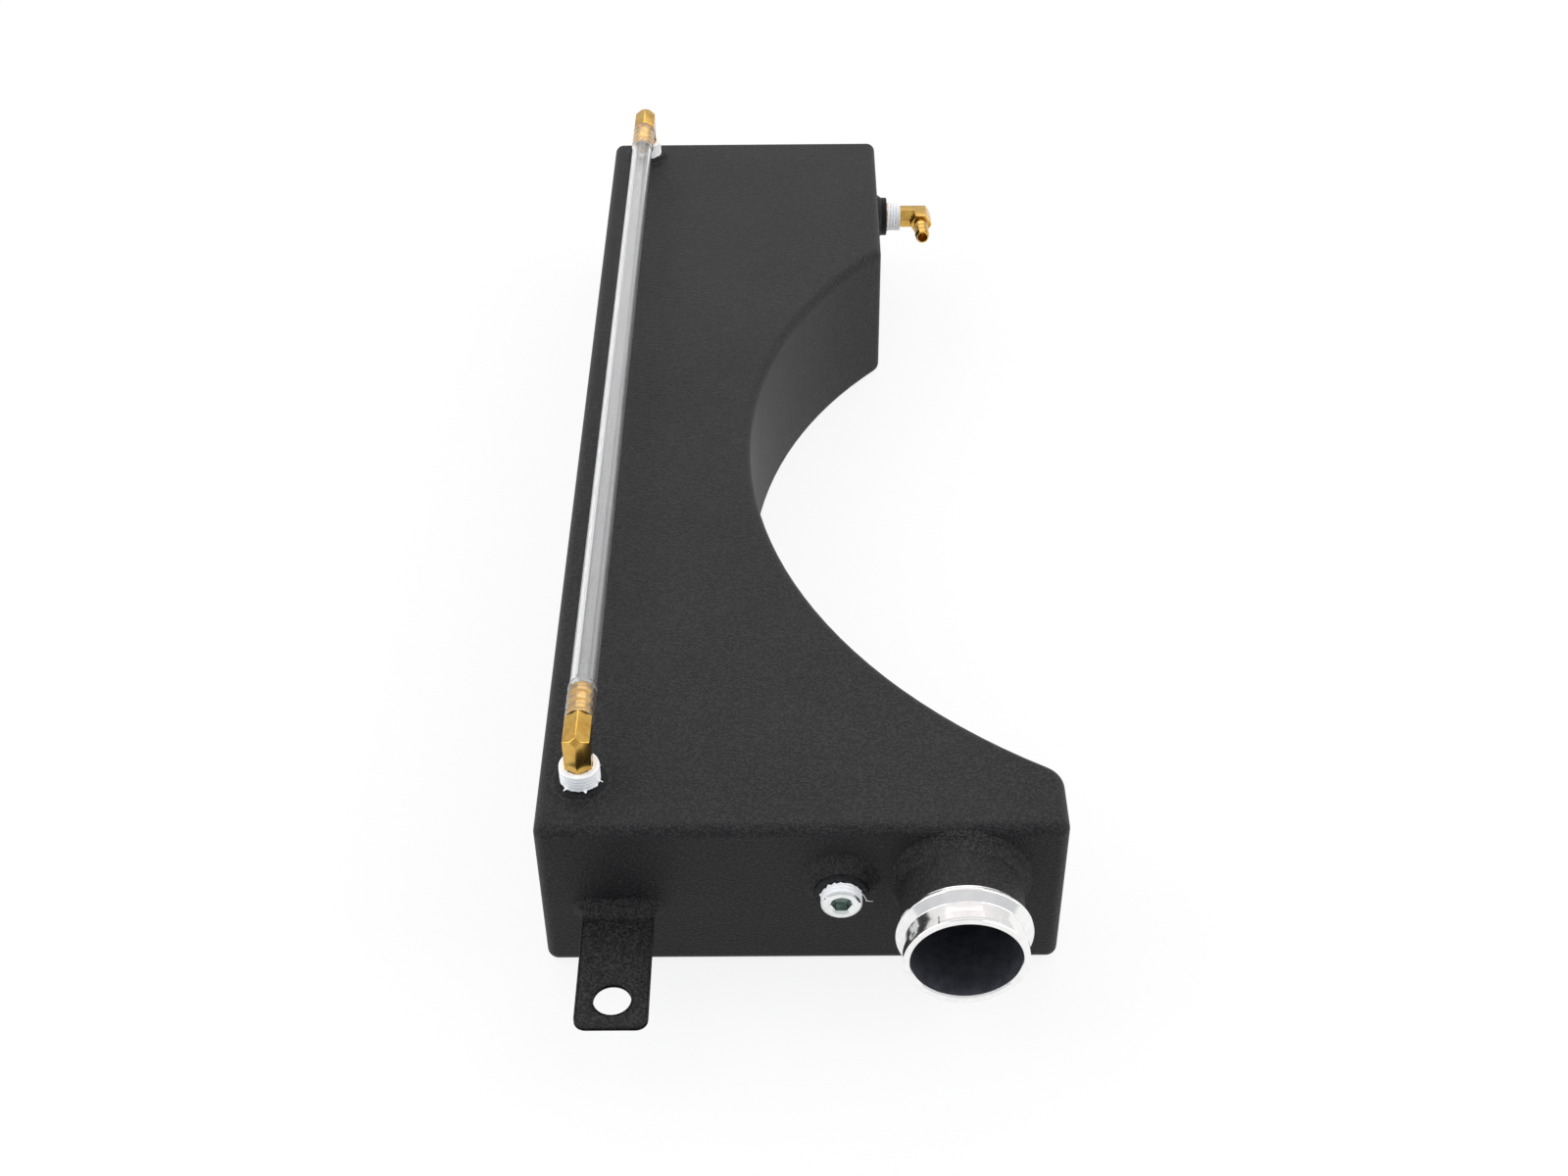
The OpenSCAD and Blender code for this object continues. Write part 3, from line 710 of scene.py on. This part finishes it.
def makeTapeWrap(name, node, place, radius, length, mouth, seed):
    t = tapeShape
    rows = []
    for i in range(t["rows"] + 1):
        share = i / t["rows"]
        row = []
        for k in range(t["steps"]):
            a = 2 * math.pi * k / t["steps"]
            x, y = math.cos(a), math.sin(a)
            edge = t["ragged"] * (0.5 + wobble(x * 3.1, y * 3.1, seed) + 0.7 * wobble(x * 11, y * 11, seed + 4))
            h = edge * (1 - share) + length * share
            fade = min(1.0, (length - h) / 0.5)
            r = radius + fade * (t["ridge"] * math.sin(2 * math.pi * h / t["pitch"] + a)
                                 + t["rough"] * wobble(x * 6, y * 6, h * 1.3 + seed))
            if share < 0.12:
                r += max(0.0, wobble(x * 4.2, y * 4.2, seed + 9) - 0.1) * (0.12 - share) * 9
            r -= 0.22 * max(0.0, 1 - (length - h) / 0.35) ** 2
            row.append(place @ Vector((r * x * mm, r * y * mm, h * mm)))
        rows.append(row)
    for share in (0.25, 0.5, 0.75, 1.0):
        row = []
        for k in range(t["steps"]):
            a = 2 * math.pi * k / t["steps"]
            x, y = math.cos(a), math.sin(a)
            r = radius - 0.2 + (mouth - radius + 0.2) * share + 0.25 * share * wobble(x * 5, y * 5, seed + 2)
            h = length + 0.1 * wobble(x * 7, y * 7, share * 3 + seed)
            row.append(place @ Vector((r * x * mm, r * y * mm, h * mm)))
        rows.append(row)
    points, faces = joinRows(rows)
    addPiece(name, points, faces, [threadTape], (node,), sharp=60)


def makeTapeBit(name, start, middle, end, wide):
    side = (end - start).cross(Vector((0, 0.5, 1))).normalized() * wide * mm / 2
    lift = (end - start).cross(side).normalized() * 0.06 * mm
    rows = []
    steps = 10
    for k in range(steps + 1):
        t = k / steps
        p = start.lerp(middle, t).lerp(middle.lerp(end, t), t)
        thin = side * (1 - 0.75 * t ** 2)
        rows.append([p - thin + lift, p + thin + lift, p + thin - lift, p - thin - lift])
    points, faces = joinRows(rows)
    faces += [(0, 1, 2, 3), tuple(range(len(points) - 4, len(points)))]
    addPiece(name, points, faces, [threadTape], sharp=50)


looseTape = [  # name, centre, degrees round the thread, height, length outwards, drop, width
    ("lowerBitA", "lower", -22, 1.6, 1.9, -0.3, 0.9), ("lowerBitB", "lower", -128, 0.6, 1.5, -0.2, 1.1),
    ("lowerBitC", "lower", -72, 0.5, 1.1, -0.2, 1.3), ("lowerBitD", "lower", 20, 3.4, 0.8, 0.2, 0.7),
    ("upperBitA", "upper", -40, 0.8, 1.2, -0.2, 0.9)]


def makeTapes(topOut, frontOut, sideOut):
    topLength, sideLength = (topSeat - topZ) / mm - topOut, (sideSeat - sideX) / mm - sideOut
    makeTapeWrap("lowerTapeWrap", "lower_tape", onTop(lowerAt, topOut), 7.0, topLength - 0.05, 4.9, 1.0)
    makeTapeWrap("upperTapeWrap", "upper_tape", onTop(upperAt, topOut), 7.0, topLength - 0.05, 4.9, 2.0)
    makeTapeWrap("sideTapeWrap", "side_tape", onSide(sideAt, sideOut), 7.0, sideLength - 0.05, 4.9, 3.0)
    makeTapeWrap("plugTapeWrap", "plug_tape", onFront(plugAt, frontOut), 7.05, 3.95, 6.6, 4.0)
    for name, which, degrees, height, length, drop, wide in looseTape:
        centre = lowerAt if which == "lower" else upperAt
        a = math.radians(degrees)
        out = Vector((math.cos(a), math.sin(a), 0))
        root = Vector((centre.x, centre.y, topZ + (topOut + height) * mm)) + out * 6.9 * mm
        tip = root + out * length * mm + Vector((0, 0, drop * mm))
        makeTapeBit(name, root, root.lerp(tip, 0.5) + Vector((0, 0, 0.3 * mm)), tip, wide)
    strand = [Vector((plugAt.x + x * mm, frontY - y * mm, plugAt.z + z * mm))
              for x, y, z in ((6.2, 7.6, 3.4), (8.2, 7.9, 1.8), (8.6, 8.2, -0.9), (10.9, 8.0, -1.0))]
    makeTapeBit("plugStrandA", strand[0], strand[1], strand[2], 0.8)
    makeTapeBit("plugStrandB", strand[1].lerp(strand[2], 0.6), strand[2], strand[3], 0.6)


# Elbows

elbowShape = {"flats": 9.5, "rise": 10.3, "reach": 10.6, "bevel": 2.4, "soft": 0.32, "barb": 15.4,
              "barbRadius": 3.6, "freeRoot": 3.0, "heldRoot": 3.4, "ridges": 3, "way": 2.2}


def elbowBody(place):
    e = elbowShape
    r = e["flats"] / math.sqrt(3)
    shape = bmesh.new()
    rings = []
    for kind in range(3):
        ring = []
        for k in range(6):
            a = math.radians(60 * k)
            x, y = r * math.sin(a), -r * math.cos(a)
            corner = ((x, y, 0.0), (x, y, e["rise"] - y), (x, e["reach"], e["rise"] - y))[kind]
            ring.append(shape.verts.new(Vector(corner) * mm))
        rings.append(ring)
    for low, high in ((rings[0], rings[1]), (rings[1], rings[2])):
        for k in range(6):
            shape.faces.new((low[k], low[(k + 1) % 6], high[(k + 1) % 6], high[k]))
    shape.faces.new(rings[0])
    shape.faces.new(rings[2])
    away = Vector((0, -1, 1)).normalized()
    cut = Vector((0, 0, e["rise"])) + away * (2 * r - e["bevel"]) / math.sqrt(2)
    found = bmesh.ops.bisect_plane(shape, geom=shape.verts[:] + shape.edges[:] + shape.faces[:], dist=1e-7,
                                   plane_co=cut * mm, plane_no=away, clear_outer=True)
    rim = [g for g in found["geom_cut"] if isinstance(g, bmesh.types.BMEdge)]
    bmesh.ops.contextual_create(shape, geom=rim)
    bmesh.ops.recalc_face_normals(shape, faces=shape.faces)
    edges = [g for g in shape.edges if len(g.link_faces) == 2 and g.calc_face_angle() > math.radians(15)]
    bmesh.ops.bevel(shape, geom=edges, offset=e["soft"] * mm, segments=3, profile=0.6, affect="EDGES")
    bmesh.ops.transform(shape, matrix=place, verts=shape.verts)
    return shape


def barbProfile(root):
    e = elbowShape
    tooth = e["barb"] / (e["ridges"] + 0.5)
    corners = [(0.0, -0.6, 0, 0), (root + 0.15, -0.6, 0, 0.05), (root + 0.1, 0.2, 0, 0.2)]
    for i in range(e["ridges"] - 1, -1, -1):
        foot = e["barb"] - (i + 1) * tooth
        corners += [(root, foot, 0, 0.12), (e["barbRadius"], foot, 0, 0.15),
                    (e["barbRadius"], foot + tooth * 0.25, 0, 0.5), (root, min(foot + tooth, e["barb"]), 0, 0.3)]
    corners += [(e["way"] + 0.15, e["barb"], 0, 0.15), (e["way"], e["barb"] - 0.4, 0, 0.1), (e["way"], 4.0, 0, 0),
                (0.0, 4.0, 0, 0)]
    return [(r, h, m) for r, h, m in roundProfile(corners, 0.15, 3)]


def makeElbow(name, node, place, root):
    e = elbowShape
    body = elbowBody(place)
    mesh = bpy.data.meshes.new(name)
    body.to_mesh(mesh)
    body.free()
    barbPlace = place @ Matrix.Translation((0, e["reach"] * mm, e["rise"] * mm)) @ Matrix.Rotation(-math.pi / 2, 4, "X")
    points, faces, _ = lathe(barbProfile(root), barbPlace, 72, closed=False)
    barb = bpy.data.meshes.new(name + "Barb")
    barb.from_pydata([tuple(p) for p in points], [], faces)
    both = bmesh.new()
    both.from_mesh(mesh)
    both.from_mesh(barb)
    both.to_mesh(mesh)
    both.free()
    bpy.data.meshes.remove(barb)
    mesh.materials.append(brass)
    finishPiece(bpy.data.objects.new(name, mesh), (node,), 32)


sideTilt = 7  # degrees that the free barb is turned up


def makeElbows():
    lowerPlace = Matrix.Translation((lowerAt.x, lowerAt.y, topSeat)) @ Matrix.Rotation(-tubeSkew, 4, "Z")
    upperPlace = Matrix.Translation((upperAt.x, upperAt.y, topSeat)) @ Matrix.Rotation(math.pi - tubeSkew, 4, "Z")
    turn = sideTurn @ Matrix.Rotation(math.radians(180 - sideTilt), 4, "Z")
    sidePlace = Matrix.Translation((sideSeat, sideAt.y, sideAt.z)) @ turn
    makeElbow("lowerElbowBody", "lower_elbow", lowerPlace, elbowShape["heldRoot"])
    makeElbow("upperElbowBody", "upper_elbow", upperPlace, elbowShape["heldRoot"])
    makeElbow("sideElbowBody", "side_elbow", sidePlace, elbowShape["freeRoot"])


# Sight tube

tubeShape = {"outer": 4.75, "inner": 3.2, "swell": 0.4, "ridge": 0.07, "ease": 3.5, "lip": 0.25, "grip": 0.05}


def makeSightTube():
    e, t = elbowShape, tubeShape
    length = math.hypot(upperAt.x - lowerAt.x, upperAt.y - lowerAt.y) / mm - 2 * e["reach"]
    tooth = e["barb"] / (e["ridges"] + 0.5)

    def swellAt(h):
        d = min(h, length - h)
        if d >= e["barb"] + t["ease"]:
            return 0.0
        if d > e["barb"]:
            share = 1 - (d - e["barb"]) / t["ease"]
            return t["swell"] * share * share * (3 - 2 * share)
        ridge = t["ridge"] * math.cos(2 * math.pi * (e["barb"] - d) / tooth)
        return t["swell"] + ridge + t["lip"] * max(0.0, 1 - d / 0.8) * 0.5

    root = e["heldRoot"]
    barb = [(h, r) for r, h, _ in barbProfile(root) if r >= root - 0.01]

    def innerAt(h):
        d = min(h, length - h)
        if d >= e["barb"] - 0.1:
            return t["inner"] + swellAt(h)
        near = [(h1, r1, h2, r2) for (h1, r1), (h2, r2) in zip(barb, barb[1:]) if h1 <= d <= h2 and h2 > h1]
        if not near:
            return root - t["grip"]
        h1, r1, h2, r2 = near[0]
        return r1 + (r2 - r1) * (d - h1) / (h2 - h1) - t["grip"]

    ends = [i * 0.2 for i in range(int((e["barb"] + t["ease"]) / 0.2) + 1)]
    heights = ends + [length * i / 40 for i in range(3, 38)] + [length - h for h in reversed(ends)]
    outer = [(t["outer"] + swellAt(h), h, 0) for h in heights]
    inner = [(innerAt(h), h, 0) for h in reversed(heights)]
    place = (Matrix.Translation((lowerAt.x, lowerAt.y, topSeat + e["rise"] * mm)) @ Matrix.Rotation(-tubeSkew, 4, "Z")
             @ Matrix.Rotation(-math.pi / 2, 4, "X") @ Matrix.Translation((0, 0, e["reach"] * mm)))
    points, faces, _ = lathe(outer + inner, place, 96)
    addPiece("clearSightTube", points, faces, [clearTube], ("sight_tube",), sharp=50)


# Floor, world and lights

studio = {"sky": 0.78, "zenith": 1.0, "near": 0.40, "mirrorLift": 0.6, "floorLift": 0.86, "floorBounce": 0.6,
          "side": 8.0, "back": 4.2}


def makeFloor():
    size = 4.0
    mesh = bpy.data.meshes.new("paleFloor")
    mesh.from_pydata([(-size, -size, 0), (size, -size, 0), (size, size, 0), (-size, size, 0)], [], [(0, 1, 2, 3)])
    floor = bpy.data.objects.new("paleFloor", mesh)
    bpy.context.scene.collection.objects.link(floor)
    floor.location.z = -0.0002
    material, tree, shader = newMaterial("paleFloorPaint")
    tree.nodes.remove(shader)
    diffuse = tree.nodes.new("ShaderNodeBsdfDiffuse")
    glow = addNode(tree, "ShaderNodeEmission", Color=(1, 1, 1, 1), Strength=1.0)
    path = tree.nodes.new("ShaderNodeLightPath")
    seen = maths(tree, "MAXIMUM", path.outputs["Is Camera Ray"], path.outputs["Is Transmission Ray"])
    seen = maths(tree, "MAXIMUM", seen, path.outputs["Is Glossy Ray"])
    bounce = (studio["floorBounce"],) * 3 + (1,)
    tree.links.new(mixColour(tree, seen, bounce, (0.95, 0.955, 0.96, 1)), diffuse.inputs["Color"])
    mix = tree.nodes.new("ShaderNodeMixShader")
    tree.links.new(maths(tree, "MULTIPLY", seen, studio["floorLift"]), mix.inputs[0])
    tree.links.new(diffuse.outputs[0], mix.inputs[1])
    tree.links.new(glow.outputs[0], mix.inputs[2])
    tree.links.new(mix.outputs[0], tree.nodes["Material Output"].inputs["Surface"])
    mesh.materials.append(material)


def makeWorld():
    world = bpy.data.worlds.new("paleWorld")
    bpy.context.scene.world = world
    world.use_nodes = True
    tree = world.node_tree
    background = tree.nodes["Background"]
    path = tree.nodes.new("ShaderNodeLightPath")
    place = tree.nodes.new("ShaderNodeTexCoord")
    parts = tree.nodes.new("ShaderNodeSeparateXYZ")
    tree.links.new(place.outputs["Generated"], parts.inputs[0])
    level = ramp(tree, parts.outputs["Z"], 0.1, 0.9)
    zenith = studio["zenith"]
    sky = mixColour(tree, level, (studio["sky"],) * 3 + (1,), (zenith, zenith * 0.965, zenith * 0.97, 1))
    near = ramp(tree, parts.outputs["Y"], 0.25, -0.45)
    mirrored = maths(tree, "MULTIPLY", path.outputs["Is Glossy Ray"], studio["mirrorLift"])
    near = maths(tree, "MULTIPLY", near, maths(tree, "SUBTRACT", 1.0, mirrored))
    sky = mixColour(tree, near, sky, (studio["near"], studio["near"] * 1.12, studio["near"] * 1.25, 1))
    seen = maths(tree, "MAXIMUM", path.outputs["Is Camera Ray"], path.outputs["Is Transmission Ray"])
    tree.links.new(mixColour(tree, seen, sky, (1, 1, 1, 1)), background.inputs["Color"])
    background.inputs["Strength"].default_value = 1.0


def addSoftbox(name, place, wide, tall, power, colour=(1, 1, 1)):
    data = bpy.data.lights.new(name, "AREA")
    data.shape = "RECTANGLE"
    data.size, data.size_y = wide, tall
    data.energy = power
    data.color = colour
    lamp = bpy.data.objects.new(name, data)
    bpy.context.scene.collection.objects.link(lamp)
    lamp.location = place
    lamp.rotation_mode = "QUATERNION"
    lamp.rotation_quaternion = (-Vector(place)).to_track_quat("-Z", "Y")
    lamp.visible_camera = False


def lightStage():
    makeFloor()
    makeWorld()
    addSoftbox("leftSoftbox", (-1.1, -0.1, 0.75), 0.9, 1.4, studio["side"])
    addSoftbox("rightSoftbox", (1.1, -0.1, 0.75), 0.9, 1.4, studio["side"])
    addSoftbox("backSoftbox", (0.0, 1.3, 1.0), 1.6, 0.8, studio["back"], (1.0, 0.97, 0.95))


# Make everything

makeCamera(cameraFit)
coatBody()
print("body coated")
makeBeads()
makeTabBead()
print("welds made")
makeTab()
outs = makeBungs()
makeNeck()
makePlug()
print("bungs, neck and plug made")
makeTapes(*outs)
makeElbows()
makeSightTube()
print("fittings and sight tube made")
lightStage()
bpy.context.scene.view_settings.view_transform = "Standard"
print("stage lit")
